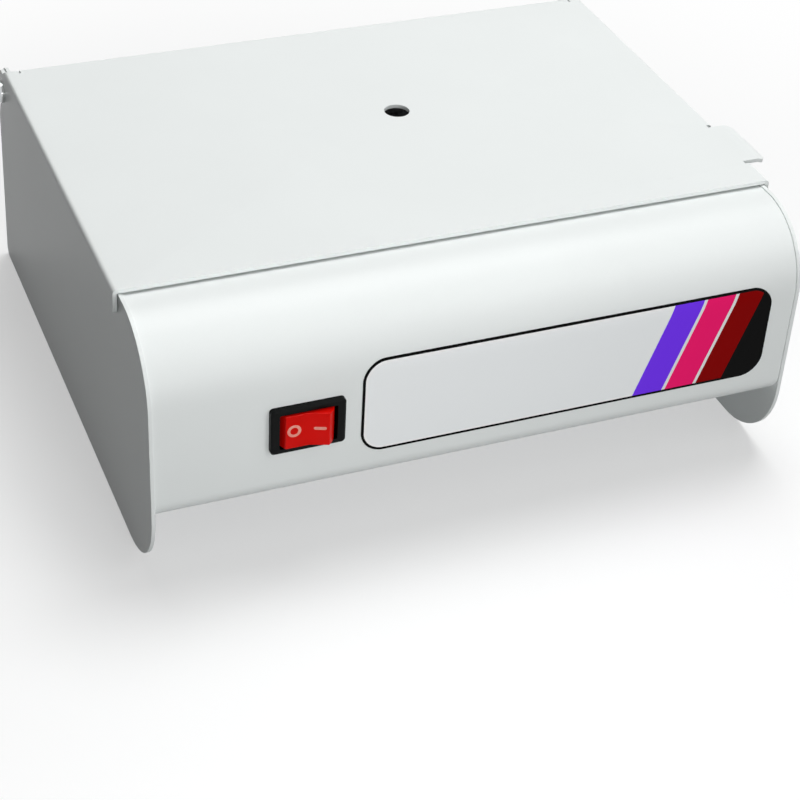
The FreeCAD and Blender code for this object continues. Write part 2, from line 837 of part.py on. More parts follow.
def switch_housing():
    """Bezel on the front panel and the switch's body behind it, hollow for the rocker."""
    bezel = switch_slot(bezel_width / 2, bezel_height / 2, (bezel_front_y, -front_reach), bezel_corner_radius)
    rim = [edge for edge in bezel.Edges if edge.BoundBox.YMax < bezel_front_y + fit_gap]
    bezel = bezel.makeChamfer(bezel_bevel, rim)
    body = switch_slot(housing_width / 2, housing_height / 2, (-front_reach, housing_depth - front_reach),
                       bezel_bevel)
    half_h = rocker_height / 2 + running_gap
    cavity_rear = rocker_pivot_y + rocker_sweep * math.sin(math.radians(rocker_travel)) + rocker_gap
    window = switch_slot(window_half_width, half_h, (bezel_front_y - overrun, -front_reach), bezel_bevel)
    cavity = switch_slot(housing_width / 2 - housing_wall, half_h, (-front_reach, cavity_rear), bezel_bevel)
    pin_half = rocker_height / 2 + rocker_pin_length + fit_gap
    pivot_low = V(switch_x, rocker_pivot_y, switch_z - pin_half)
    pivot = rod(pivot_low, pivot_low + V(0, 0, 2 * pin_half), rocker_pin_radius + fit_gap)
    return bezel.fuse(body).cut(window).cut(cavity).cut(pivot)


def switch_blade_places():
    """X positions of the switch's three blades: lamp, supply and switched."""
    return [switch_x + i * terminal_spacing for i in (-1, 0, 1)]


def switch_terminals():
    """Three blades behind the switch's body."""
    rear = housing_depth - front_reach
    return Part.makeCompound([blade(x, rear, switch_z) for x in switch_blade_places()])


def switch_rocker():
    """Rocker with two flat faces that meet in a shallow valley, ends round its pivot, and its pins."""
    low = V(switch_x, rocker_pivot_y, switch_z - rocker_height / 2)
    up = V(0, 0, rocker_height)
    disc = rod(low, low + up, rocker_sweep)
    valley = rocker_pivot_depth + rocker_valley
    wide = rocker_sweep + overrun
    rise = wide * math.tan(math.radians(rocker_travel))
    outline = [
        low + V(-wide, -rocker_skirt_drop, 0),
        low + V(-wide, -valley, 0),
        low + V(0, -valley, 0),
        low + V(wide, -valley - rise, 0),
        low + V(wide, -rocker_skirt_drop, 0),
    ]
    cap = disc.common(prism(outline, [0] * len(outline), up))
    hub = rod(low, low + up, rocker_hub_radius)
    pin_reach = V(0, 0, rocker_pin_length)
    pins = rod(low - pin_reach, low + up + pin_reach, rocker_pin_radius)
    return cap.fuse(hub).fuse(pins)


def front_label():
    """Thin label that follows the front panel up onto its shoulder."""
    out = label_glue + label_thickness
    path = [
        V(label_left, 0, front_top + out),
        V(label_left, -front_reach - out, front_top + out),
        V(label_left, -front_reach - out, label_bottom - overrun),
    ]
    skin = bent_sheet(path, [0, shoulder_radius + out, 0], label_thickness, V(label_right - label_left, 0, 0))
    top = shoulder_z + shoulder_radius * math.sin(math.radians(label_wrap_angle))
    front = -front_reach - overrun
    corners = [
        V(label_left, front, label_bottom),
        V(label_right, front, label_bottom),
        V(label_right, front, top),
        V(label_left, front, top),
    ]
    return skin.common(prism(corners, [label_corner_radius] * 4, V(0, front_reach, 0)))


def hinge_pin(side):
    """Rivet through skirt and side panel; side is -1 on the left and 1 on the right."""
    def at(x):
        return V(side * x, hinge_y, hinge_z)
    head_inner = skirt_outside + fit_gap
    head_outer = head_inner + pin_head_height
    head = rod(at(head_inner), at(head_outer), pin_head_radius)
    outwards = [side * edge.BoundBox.Center.x for edge in head.Edges]
    rim = [edge for edge, x in zip(head.Edges, outwards) if x > head_outer - fit_gap]
    head = head.makeFillet(pin_head_round, rim)
    shank = rod(at(panel_inside - pin_tail_height), at(head_inner), pin_radius)
    tail = rod(at(panel_inside - pin_tail_height), at(panel_inside), pin_tail_radius)
    return shank.fuse(head).fuse(tail)


def hinge_washers():
    """Flat washers between the side panels and the lid's skirts."""
    washers = []
    for side in (-1, 1):
        start = V(side * (half_width + fit_gap), hinge_y, hinge_z)
        end = V(side * (skirt_inside - fit_gap), hinge_y, hinge_z)
        washers.append(rod(start, end, washer_radius).cut(rod(start, end, pin_radius + fit_gap)))
    return Part.makeCompound(washers)


def liner_stud_places():
    """Where the four studs hang under the lid."""
    xs = (-liner_stud_spacing_x / 2, liner_stud_spacing_x / 2)
    ys = (chamber_middle_y - liner_stud_spacing_y / 2, chamber_middle_y + liner_stud_spacing_y / 2)
    return [(x, y) for x in xs for y in ys]


def liner_stud_bars(radius, top, bottom):
    """Round bars at every liner stud between two heights."""
    return Part.makeCompound([rod(V(x, y, bottom), V(x, y, top), radius) for x, y in liner_stud_places()])


def liner_studs():
    """Four studs welded under the lid, which hold the liner."""
    tail = liner_bottom - liner_nut_thickness - liner_stud_tail
    return liner_stud_bars(liner_stud_radius, lid_inside_height, tail)


def port_bar(radius, bottom, top):
    """Round bar on the thermometer port's axis."""
    return rod(V(port_x, port_y, bottom), V(port_x, port_y, top), radius)


def tab_root():
    """X at which the lifting tab leaves the lid's flat top."""
    return half_width - 2 * running_gap


def lid_tab():
    """Lifting tab that runs out of the lid's right edge, its tip bent down a little."""
    root = tab_root()
    tip = skirt_outside + tab_reach
    path = [
        V(root, tab_start, overall_height),
        V(tip - tab_tip, tab_start, overall_height),
        V(tip, tab_start, overall_height - tab_tip_drop),
    ]
    tab = bent_sheet(path, [0, rear_bend_radius, 0], sheet, V(0, tab_width, 0))
    corners = [
        V(root, tab_start, skirt_bottom),
        V(tip, tab_start, skirt_bottom),
        V(tip, tab_start + tab_width, skirt_bottom),
        V(root, tab_start + tab_width, skirt_bottom),
    ]
    radii = [0, tab_corner_radius, tab_corner_radius, 0]
    return tab.common(prism(corners, radii, V(0, 0, skirt_height + overrun)))


def lid_rear_flange():
    """Rear edge of the lid, bent down between the side panels."""
    half = panel_inside - rear_flange_inset
    path = [
        V(half, lid_depth - rear_bend_radius - sheet, overall_height),
        V(half, lid_depth, overall_height),
        V(half, lid_depth, overall_height - rear_flange_drop),
    ]
    return bent_sheet(path, [0, rear_bend_radius, 0], sheet, V(-2 * half, 0, 0))


def lid_ear(inner_x, outer_x):
    """Plate that slopes down from the skirt and ends round the hinge line."""
    drop = skirt_bottom - hinge_z
    lean = math.asin(ear_radius / math.hypot(ear_run, drop)) + math.atan2(drop, ear_run)
    ear_bottom = hinge_z - ear_radius
    ear_top = hinge_z + ear_radius
    toe_y = hinge_y - ear_run + (skirt_bottom - ear_bottom) / math.tan(lean)
    outline = [
        V(inner_x, hinge_y - 2 * ear_run, skirt_bottom),
        V(inner_x, hinge_y - ear_run, skirt_bottom),
        V(inner_x, toe_y, ear_bottom),
        V(inner_x, hinge_y + ear_radius, ear_bottom),
        V(inner_x, hinge_y + ear_radius, ear_top),
        V(inner_x, hinge_y - 2 * ear_run, ear_top),
    ]
    radii = [0, ear_root_radius, ear_radius, ear_radius, ear_radius, 0]
    return prism(outline, radii, V(outer_x - inner_x, 0, 0))


def lid_shell():
    """Lid sheet with side skirts, hinge ears, lifting tab, rear flange and the port's hole."""
    path = [
        V(-skirt_outside, 0, skirt_bottom),
        V(-skirt_outside, 0, overall_height),
        V(skirt_outside, 0, overall_height),
        V(skirt_outside, 0, skirt_bottom),
    ]
    shell = bent_sheet(path, [0, lid_bend_radius, lid_bend_radius, 0], sheet, V(0, lid_depth, 0))
    side = [
        V(-skirt_outside, 0, skirt_bottom),
        V(-skirt_outside, 0, overall_height),
        V(-skirt_outside, lid_depth, overall_height),
        V(-skirt_outside, lid_depth, skirt_bottom),
    ]
    corner_radii = [skirt_corner_radius, 0, lid_rear_corner_radius, 0]
    shell = shell.common(prism(side, corner_radii, V(2 * skirt_outside, 0, 0)))
    height = (skirt_bottom - overrun, overall_height + overrun)
    tab_room = (tab_start - tab_relief, tab_start + tab_width + tab_relief)
    shell = shell.cut(box((tab_root(), skirt_outside + overrun), tab_room, height))
    flange_room = panel_inside - rear_flange_inset + rear_flange_relief
    bend_start = lid_depth - rear_bend_radius - sheet
    shell = shell.cut(box((-flange_room, flange_room), (bend_start, lid_depth + overrun), height))
    for x in (-1, 1):
        shell = shell.fuse(lid_ear(x * skirt_inside, x * skirt_outside))
    far = skirt_outside + overrun
    shell = shell.cut(rod(V(-far, hinge_y, hinge_z), V(far, hinge_y, hinge_z), pin_radius + fit_gap))
    shell = shell.fuse(lid_rear_flange()).fuse(lid_tab())
    port = port_bar(port_radius, lid_inside_height - overrun, overall_height + overrun)
    return shell.cut(port).removeSplitter()


def liner_outline(inset, heights):
    """Rounded block of the liner's plan, drawn in by an inset."""
    half = chamber_length / 2 - liner_gap - inset
    y = (chamber_front + liner_gap + inset, chamber_rear - liner_gap - inset)
    return slab((-half, half), y, heights, liner_corner_radius - inset)


def lid_liner():
    """Aluminium pan under the lid, open upwards."""
    pan = liner_outline(0, (liner_bottom, lid_inside_height))
    hollow = liner_outline(liner_wall, (liner_bottom + liner_wall, lid_inside_height + overrun))
    pan = rounded_floor(pan, liner_wall * 2).cut(rounded_floor(hollow, liner_wall))
    pan = pan.cut(liner_stud_bars(liner_stud_radius + fit_gap, lid_inside_height, liner_bottom - overrun))
    return pan.cut(port_bar(port_radius + sleeve_wall + fit_gap, liner_bottom - overrun, lid_inside_height))


def lid_insulation():
    """Felt that fills the liner pan."""
    felt = liner_outline(liner_wall, (liner_bottom + liner_wall, lid_inside_height))
    felt = rounded_floor(felt, liner_wall)
    felt = felt.cut(liner_stud_bars(liner_stud_radius + fit_gap, lid_inside_height + overrun, liner_bottom))
    return felt.cut(port_bar(port_radius + sleeve_wall + fit_gap, liner_bottom, lid_inside_height + overrun))


def liner_nuts():
    """Nuts that hold the liner on the lid's studs."""
    nuts = []
    for x, y in liner_stud_places():
        nuts.append(nut(V(x, y, liner_bottom - liner_nut_thickness), V(x, y, liner_bottom), liner_nut_radius,
                        liner_stud_radius + fit_gap))
    return Part.makeCompound(nuts)


def thermometer_sleeve():
    """Sleeve of the thermometer port through the lid's insulation, with a lip under the liner."""
    tube = port_bar(port_radius + sleeve_wall, liner_bottom, lid_inside_height)
    lip = port_bar(sleeve_lip_radius, liner_bottom - sleeve_lip, liner_bottom)
    return tube.fuse(lip).cut(port_bar(port_radius, liner_bottom - overrun, lid_inside_height + overrun))


def lead_lane(i):
    """Side, front and rear places and the height of a lane; lane 0 is the outermost and highest."""
    side = -panel_inside + lead_panel_gap + i * lead_pitch
    front = tub_front - wrap_thickness - lead_wrap_gap
    rear = block_y - lead_block_gap - i * lead_pitch
    return side, front, rear, base_top + lead_lowest + (2 - i) * lead_step


def lane_route(i):
    """Points from a switch blade down to its lane, and along the lane to the rear of the tub."""
    x = switch_blade_places()[i]
    side, front, rear, z = lead_lane(i)
    blade_y = housing_depth + blade_length - front_reach
    return [
        V(x, blade_y, switch_z),
        V(x, front, switch_z),
        V(x, front, z),
        V(side, front, z),
        V(side, rear, z),
    ]


def lead_to_block(i):
    """Lead from a switch blade to the terminal block's way of the same number."""
    rear, z = lead_lane(i)[2:]
    x = block_way_places()[i]
    return lane_route(i) + [V(x, rear, z), V(x, block_y, z)]


def lead_switch_to_thermostat():
    """Lead from the switch along the inner lane, past the thermostat and back to its right blade."""
    rear, z = lead_lane(2)[2:]
    x = thermostat_blade_places()[1]
    stat_y = thermostat_blade_end()
    behind = stat_y + lead_tail
    return lane_route(2) + [
        V(x + lead_swing, rear, z),
        V(x + lead_swing, behind, thermostat_z),
        V(x, behind, thermostat_z),
        V(x, stat_y, thermostat_z),
    ]


def lead_thermostat_to_fuse():
    """Lead from the thermostat's left blade to the right end of the thermal fuse."""
    x = thermostat_blade_places()[0]
    stat_y = thermostat_blade_end()
    behind = stat_y + lead_tail
    fuse_end = fuse_x + fuse_length / 2
    return [
        V(x, stat_y, thermostat_z),
        V(x, behind, thermostat_z),
        V(fuse_end + lead_tail + lead_slope_run, behind, thermostat_z),
        V(fuse_end + lead_tail, fuse_axis_y(), fuse_z),
        V(fuse_end, fuse_axis_y(), fuse_z),
    ]


def lead_fuse_to_heater():
    """Lead from the left end of the thermal fuse down to the heater's left tag."""
    fuse_end = fuse_x - fuse_length / 2
    x = heater_tag_places()[0]
    behind = tub_rear + wrap_thickness + lead_rear_gap
    return [
        V(fuse_end, fuse_axis_y(), fuse_z),
        V(fuse_end - lead_tail, fuse_axis_y(), fuse_z),
        V(x + lead_pitch, behind, fuse_z - lead_tail),
        V(x, behind, heater_tag_z()),
        V(x, heater_tag_end(), heater_tag_z()),
    ]


def lead_heater_to_block():
    """Lead from the heater's right tag to the terminal block's last way."""
    x = heater_tag_places()[1]
    behind = tub_rear + wrap_thickness + lead_rear_gap
    way_x = block_way_places()[-1]
    way_z = base_top + block_height / 2
    return [
        V(x, heater_tag_end(), heater_tag_z()),
        V(x, behind, heater_tag_z()),
        V(way_x, behind, way_z),
        V(way_x, block_y, way_z),
    ]


def lead_routes():
    """Internal leads: each starts and ends square to a terminal, face to face with it."""
    return {
        "lead_block_to_lamp": lead_to_block(0),
        "lead_block_to_switch": lead_to_block(1),
        "lead_switch_to_thermostat": lead_switch_to_thermostat(),
        "lead_thermostat_to_fuse": lead_thermostat_to_fuse(),
        "lead_fuse_to_heater": lead_fuse_to_heater(),
        "lead_heater_to_block": lead_heater_to_block(),
    }


def all_nodes():
    """Every piece by its node's name, in the order in which they go together."""
    nodes = {
        "left_side_panel": side_panel(-panel_inside, -half_width),
        "right_side_panel": side_panel(panel_inside, half_width),
        "front_panel": front_panel(),
        "rear_panel": rear_panel(),
        "base_plate": base_plate(),
        "base_screws": base_screws(),
        "top_deck": top_deck(),
        "chamber_tub": chamber_tub(),
        "rim_rivets": rim_rivets(),
        "insulation_wrap": insulation_wrap(),
        "insulation_pad": insulation_pad(),
        "heater_studs": heater_studs(),
        "heating_element": heating_element(),
        "heater_clamp": heater_clamp(),
        "heater_nuts": heater_nuts(),
        "thermostat": thermostat(),
        "thermostat_screws": thermostat_screws(),
        "thermal_fuse": thermal_fuse(),
        "fuse_clip": fuse_clip(),
        "terminal_block": terminal_block(),
        "terminal_screws": terminal_screws(),
        "cord_gland": cord_gland(),
        "gland_nut": gland_nut(),
        "switch_housing": switch_housing(),
        "switch_terminals": switch_terminals(),
        "switch_rocker": switch_rocker(),
        "front_label": front_label(),
        "hinge_pin_left": hinge_pin(-1),
        "hinge_pin_right": hinge_pin(1),
        "hinge_washers": hinge_washers(),
        "lid_shell": lid_shell(),
        "liner_studs": liner_studs(),
        "lid_liner": lid_liner(),
        "lid_insulation": lid_insulation(),
        "liner_nuts": liner_nuts(),
        "thermometer_sleeve": thermometer_sleeve(),
    }
    for name, route in lead_routes().items():
        nodes[name] = tube_along(route, lead_radius)
    return nodes


nodes = all_nodes()
whole = Part.makeCompound(list(nodes.values())).BoundBox
to_origin = V(-whole.Center.x, -whole.Center.y, -whole.ZMin)
for name, shape in nodes.items():
    shape.translate(to_origin)
    shape.exportStep("parts/" + name + ".step")
print("whole", round(whole.XLength, 2), round(whole.YLength, 2), round(whole.ZLength, 2))
print("moved by", round(to_origin.x, 4), round(to_origin.y, 4), round(to_origin.z, 4))
print("lid hinge", V(0, hinge_y, hinge_z) + to_origin)
print("rocker pivot", V(switch_x, rocker_pivot_y, switch_z) + to_origin)
print("thermometer port", V(port_x, port_y, overall_height) + to_origin)
print("gland", gland_point(0) + to_origin)
print("chamber", V(0, chamber_middle_y, tub_floor_height + tub_wall) + to_origin)
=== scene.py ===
import math

import bmesh
import bpy
import numpy as np
from mathutils import Matrix, Vector


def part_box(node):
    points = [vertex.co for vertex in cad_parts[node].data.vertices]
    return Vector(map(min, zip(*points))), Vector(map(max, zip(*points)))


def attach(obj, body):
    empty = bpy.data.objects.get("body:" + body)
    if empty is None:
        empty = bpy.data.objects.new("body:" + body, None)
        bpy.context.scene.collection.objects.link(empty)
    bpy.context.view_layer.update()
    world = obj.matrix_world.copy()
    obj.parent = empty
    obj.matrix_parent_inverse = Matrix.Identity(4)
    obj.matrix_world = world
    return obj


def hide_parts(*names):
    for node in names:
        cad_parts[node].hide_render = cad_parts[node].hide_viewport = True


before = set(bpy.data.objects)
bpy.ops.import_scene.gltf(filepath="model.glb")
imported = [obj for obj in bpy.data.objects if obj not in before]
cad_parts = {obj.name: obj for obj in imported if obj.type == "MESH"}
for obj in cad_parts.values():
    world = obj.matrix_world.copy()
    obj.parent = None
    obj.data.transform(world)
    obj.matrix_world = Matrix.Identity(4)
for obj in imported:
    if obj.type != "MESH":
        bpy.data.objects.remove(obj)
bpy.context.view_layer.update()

# Studio: a pale seamless floor that turns to white a little way from the object, a large soft lamp
# overhead and a weaker one at the front right, two small weak ones low in front and faint even light
# from all round. The floor throws little light back, so that the side away from the lamps stays dark.


def linear(hex_colour):
    """sRGB hex colour turned to linear red, green, blue and alpha."""
    srgb = np.array([int(hex_colour[i:i + 2], 16) for i in (1, 3, 5)]) / 255
    values = np.where(srgb <= 0.04045, srgb / 12.92, ((srgb + 0.055) / 1.055) ** 2.4)
    return (*values, 1.0)


def add(nodes, kind, values=(), links=(), **settings):
    """Adds a node: settings are its attributes, values its sockets' numbers and links their sources."""
    node = nodes.new("ShaderNode" + kind)
    for key, value in settings.items():
        setattr(node, key, value)
    for socket, value in dict(values).items():
        node.inputs[socket].default_value = value
    for socket, source in dict(links).items():
        nodes.id_data.links.new(source, node.inputs[socket])
    return node


def seen_straight(nodes):
    """A socket that is one for camera, glossy and transmission rays, and zero for light thrown about."""
    rays = add(nodes, "LightPath")
    camera_or_glossy = add(nodes, "Math", operation="MAXIMUM",
                           links={0: rays.outputs["Is Camera Ray"], 1: rays.outputs["Is Glossy Ray"]})
    all_three = add(nodes, "Math", operation="MAXIMUM",
                    links={0: camera_or_glossy.outputs[0], 1: rays.outputs["Is Transmission Ray"]})
    return all_three.outputs[0]


# Sockets of a Mix node that mixes colours: its two colours and its result.
mix_a, mix_b, mix_out = 6, 7, 2

floor_half = 12.0
floor_seen = "#FAFBFB"
floor_thrown = "#6C6E6E"
white_starts = 0.14
white_complete = 0.36
white_share_near = 0.45
world_white = "#FFFFFF"
ambient = 0.09

floor_corners = [(-floor_half, -floor_half, 0), (floor_half, -floor_half, 0),
                 (floor_half, floor_half, 0), (-floor_half, floor_half, 0)]
floor_mesh = bpy.data.meshes.new("studio_floor")
floor_mesh.from_pydata(floor_corners, [], [(0, 1, 2, 3)])
studio_floor = bpy.data.objects.new("studio_floor", floor_mesh)
bpy.context.scene.collection.objects.link(studio_floor)
paper = bpy.data.materials.new("seamless_paper")
paper.use_nodes = True
nodes = paper.node_tree.nodes
nodes.clear()
seen = seen_straight(nodes)
place = add(nodes, "TexCoord")
away = add(nodes, "VectorMath", operation="LENGTH", links={0: place.outputs["Object"]})
whiter = add(nodes, "MapRange", {"From Min": white_starts, "From Max": white_complete,
                                 "To Min": white_share_near, "To Max": 1.0},
             {"Value": away.outputs["Value"]}, interpolation_type="SMOOTHSTEP")
white_share = add(nodes, "Math", operation="MULTIPLY", links={0: seen, 1: whiter.outputs[0]})
tone = add(nodes, "Mix", {mix_a: linear(floor_thrown), mix_b: linear(floor_seen)}, {0: seen},
           data_type="RGBA")
lit_paper = add(nodes, "BsdfDiffuse", links={"Color": tone.outputs[mix_out]})
white_paper = add(nodes, "Emission", {"Color": linear(world_white), "Strength": 1.0})
either = add(nodes, "MixShader", links={0: white_share.outputs[0], 1: lit_paper.outputs[0],
                                        2: white_paper.outputs[0]})
add(nodes, "OutputMaterial", links={"Surface": either.outputs[0]})
floor_mesh.materials.append(paper)

world = bpy.data.worlds.new("studio")
world.use_nodes = True
bpy.context.scene.world = world
nodes = world.node_tree.nodes
nodes.clear()
dim = add(nodes, "Background", {"Color": linear(world_white), "Strength": ambient})
bright = add(nodes, "Background", {"Color": linear(world_white), "Strength": 1.0})
mixed = add(nodes, "MixShader", links={0: seen_straight(nodes), 1: dim.outputs[0], 2: bright.outputs[0]})
add(nodes, "OutputWorld", links={"Surface": mixed.outputs[0]})

# Each lamp's place, the side of its square and its watts. All of them face the origin.
lamps = {
    "overhead_lamp": ((0.27, 0.26, 1.30), 0.75, 13.5),
    "front_right_lamp": ((0.60, -0.75, 0.90), 0.75, 2.6),
    "low_left_fill": ((-0.09, -0.40, 0.13), 0.12, 0.40),
    "low_right_fill": ((0.35, -0.80, 0.12), 0.30, 1.2),
}
for name, (lamp_place, side, watts) in lamps.items():
    lamp_data = bpy.data.lights.new(name, "AREA")
    lamp_data.shape = "SQUARE"
    lamp_data.size = side
    lamp_data.energy = watts
    lamp = bpy.data.objects.new(name, lamp_data)
    lamp.location = lamp_place
    lamp.rotation_euler = Vector(lamp_place).to_track_quat("Z", "Y").to_euler()
    lamp.visible_camera = False
    bpy.context.scene.collection.objects.link(lamp)

# Camera: in front on the left and above, two thirds of a metre away, rolled by a few degrees.
camera_place = (-0.20877, -0.50198, 0.37936)
camera_looks = (0.32285, 0.73761, -0.59305)
camera_roll = 3.429
camera_lens = 89.20
camera_sensor = 36.0
camera_data = bpy.data.cameras.new("camera")
camera_data.lens = camera_lens
camera_data.sensor_width = camera_sensor
camera = bpy.data.objects.new("camera", camera_data)
forward = Vector(camera_looks).normalized()
level = forward.cross(Vector((0, 0, 1))).normalized()
upright = level.cross(forward)
roll = math.radians(camera_roll)
right = level * math.cos(roll) + upright * math.sin(roll)
up = right.cross(forward)
turn = Matrix((right, up, -forward)).transposed().to_4x4()
camera.matrix_world = Matrix.Translation(camera_place) @ turn
bpy.context.scene.collection.objects.link(camera)
bpy.context.scene.camera = camera
bpy.context.scene.view_settings.view_transform = "Standard"

# Side panels: flat steel sheet cut to the rounded outline that also makes the feet, powder coated in
# half glossy white after the housing was spot welded. The coat rounds the cut edges a little, so each
# panel is a copy of its solid with small round edges.

sheet_edge = 0.00028
edge_steps = 2
sharp_angle = math.radians(35.0)
flat_angle = math.radians(0.1)
merge_distance = 0.000002


def rounded_copy(name, node, radius, body):
    """The node's mesh with doubles merged and flat facets joined, and with every edge that turns by more
    than the sharp angle rounded to the radius."""
    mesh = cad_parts[node].data.copy()
    mesh.name = name
    shape = bmesh.new()
    shape.from_mesh(mesh)
    bmesh.ops.remove_doubles(shape, verts=shape.verts, dist=merge_distance)
    bmesh.ops.dissolve_limit(shape, angle_limit=flat_angle, verts=shape.verts, edges=shape.edges,
                             delimit={"MATERIAL"})
    shape.to_mesh(mesh)
    shape.free()
    mesh.materials.clear()
    mesh.shade_smooth()
    mesh.set_sharp_from_angle(angle=sharp_angle)
    piece = bpy.data.objects.new(name, mesh)
    bpy.context.scene.collection.objects.link(piece)
    edges = piece.modifiers.new("round_edges", "BEVEL")
    edges.width = radius
    edges.segments = edge_steps
    edges.limit_method = "ANGLE"
    edges.angle_limit = sharp_angle
    edges.use_clamp_overlap = True
    edges.harden_normals = True
    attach(piece, body)
    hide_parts(node)
    return piece


def new_material(name):
    """An empty node material with a Principled shader; returns it, its nodes and the shader."""
    made = bpy.data.materials.new(name)
    made.use_nodes = True
    tree = made.node_tree.nodes
    tree.clear()
    shader = add(tree, "BsdfPrincipled")
    add(tree, "OutputMaterial", links={"Surface": shader.outputs[0]})
    return made, tree, shader


def powder_coat():
    """White polyester powder coat on steel: even and half glossy, with faint orange peel 1.5 mm across
    and faint clouds of tone 45 mm across."""
    cloud_size = 0.0455
    peel_size = 0.00154
    made, tree, shader = new_material("white_powder_coat")
    place = add(tree, "TexCoord")
    clouds = add(tree, "TexNoise", {"Scale": 1 / cloud_size, "Detail": 3.0},
                 {"Vector": place.outputs["Object"]})
    tint = add(tree, "Mix", {mix_a: linear("#ECF0EF"), mix_b: linear("#F1F5F4")},
               {0: clouds.outputs["Fac"]}, data_type="RGBA")
    peel = add(tree, "TexNoise", {"Scale": 1 / peel_size, "Detail": 1.5, "Roughness": 0.4},
               {"Vector": place.outputs["Object"]})
    bump = add(tree, "Bump", {"Strength": 0.10, "Distance": 0.00003}, {"Height": peel.outputs["Fac"]})
    shine = add(tree, "MapRange", {"To Min": 0.30, "To Max": 0.36}, {"Value": clouds.outputs["Fac"]})
    tree.id_data.links.new(tint.outputs[mix_out], shader.inputs["Base Color"])
    tree.id_data.links.new(bump.outputs[0], shader.inputs["Normal"])
    tree.id_data.links.new(shine.outputs[0], shader.inputs["Roughness"])
    shader.inputs["IOR"].default_value = 1.5
    shader.inputs["Specular IOR Level"].default_value = 0.12
    return made


white_coat = powder_coat()
for side in ("left", "right"):
    panel = rounded_copy(f"{side}_panel_coated", f"{side}_side_panel", sheet_edge, "root")
    panel.data.materials.append(white_coat)

# Front panel: one sheet rolled over the shoulder, run down the flat face and curled under to the
# base, coated with the side panels and welded between them.

front = rounded_copy("front_panel_coated", "front_panel", sheet_edge, "root")
front.data.materials.append(white_coat)

# Rear panel: steel sheet that leans a little, folded into a flange at top and bottom, welded between
# the side panels and coated with them.

rear = rounded_copy("rear_panel_coated", "rear_panel", sheet_edge, "root")
rear.data.materials.append(white_coat)

# Top deck: sheet round the chamber's mouth, stepped down behind it so that the lid's rear edge can
# swing, in the same white coat as the housing.

deck = rounded_copy("top_deck_coated", "top_deck", sheet_edge, "root")
deck.data.materials.append(white_coat)

# Base plate: zinc plated sheet with a row of slots for air, folded up at both sides and screwed from
# below. Zinc plate is a dull blue grey with soft cloudy spangle.


def zinc_plate():
    """Zinc plated steel: low contrast crystals about 6 mm across and a satin shine."""
    crystal_size = 0.00625
    made, tree, shader = new_material("zinc_plated_steel")
    place = add(tree, "TexCoord")
    crystals = add(tree, "TexVoronoi", {"Scale": 1 / crystal_size}, {"Vector": place.outputs["Object"]})
    grey = add(tree, "ValToRGB", links={"Fac": crystals.outputs["Color"]})
    grey.color_ramp.elements[0].color = linear("#9EA3A6")
    grey.color_ramp.elements[1].color = linear("#B9BEC0")
    shine = add(tree, "MapRange", {"To Min": 0.34, "To Max": 0.46}, {"Value": crystals.outputs["Color"]})
    tree.id_data.links.new(grey.outputs[0], shader.inputs["Base Color"])
    tree.id_data.links.new(shine.outputs[0], shader.inputs["Roughness"])
    shader.inputs["Metallic"].default_value = 1.0
    return made


zinc = zinc_plate()
base = rounded_copy("base_plate_plated", "base_plate", sheet_edge, "root")
base.data.materials.append(zinc)

# Base screws: four plated pan head screws with a cross recess, driven up through the bottom flanges
# into the base plate.

crease_angle = math.radians(50.0)


def closed_surface(name, points, body, nodes=(), ring=False):
    """Faces over a grid of points. Columns always close round; rows close into a ring, or else each
    end gets a fan to the middle of its row. Rows that go up with columns that turn anticlockwise, seen
    from above, face outwards."""
    rows, columns = points.shape[:2]
    index = np.arange(rows * columns).reshape(rows, columns)
    low = index if ring else index[:-1]
    high = np.roll(index, -1, axis=0) if ring else index[1:]
    quads = np.stack([low, np.roll(low, -1, axis=1), np.roll(high, -1, axis=1), high], axis=-1)
    faces = quads.reshape(-1, 4).tolist()
    places = points.reshape(-1, 3)
    if not ring:
        first, last = index[0], index[-1]
        low_fan = np.stack([np.full(columns, len(places)), np.roll(first, -1), first], axis=-1)
        high_fan = np.stack([np.full(columns, len(places) + 1), last, np.roll(last, -1)], axis=-1)
        faces += low_fan.tolist() + high_fan.tolist()
        places = np.vstack([places, points[0].mean(axis=0), points[-1].mean(axis=0)])
    mesh = bpy.data.meshes.new(name)
    mesh.from_pydata(places.tolist(), [], faces)
    mesh.shade_smooth()
    mesh.set_sharp_from_angle(angle=crease_angle)
    piece = bpy.data.objects.new(name, mesh)
    bpy.context.scene.collection.objects.link(piece)
    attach(piece, body)
    if nodes:
        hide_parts(*nodes)
    return piece


screw_head_radius = 0.0028
screw_head_height = 0.0018
screw_shank_radius = 0.0015
head_dome_share = 0.75
head_middle_share = 0.02
head_rings = 26
screw_sides = 96
recess_width = 0.0011
recess_length = 0.0034
recess_depth = 0.0009
recess_wall = 0.00012
around = np.linspace(0, 2 * np.pi, screw_sides, endpoint=False)


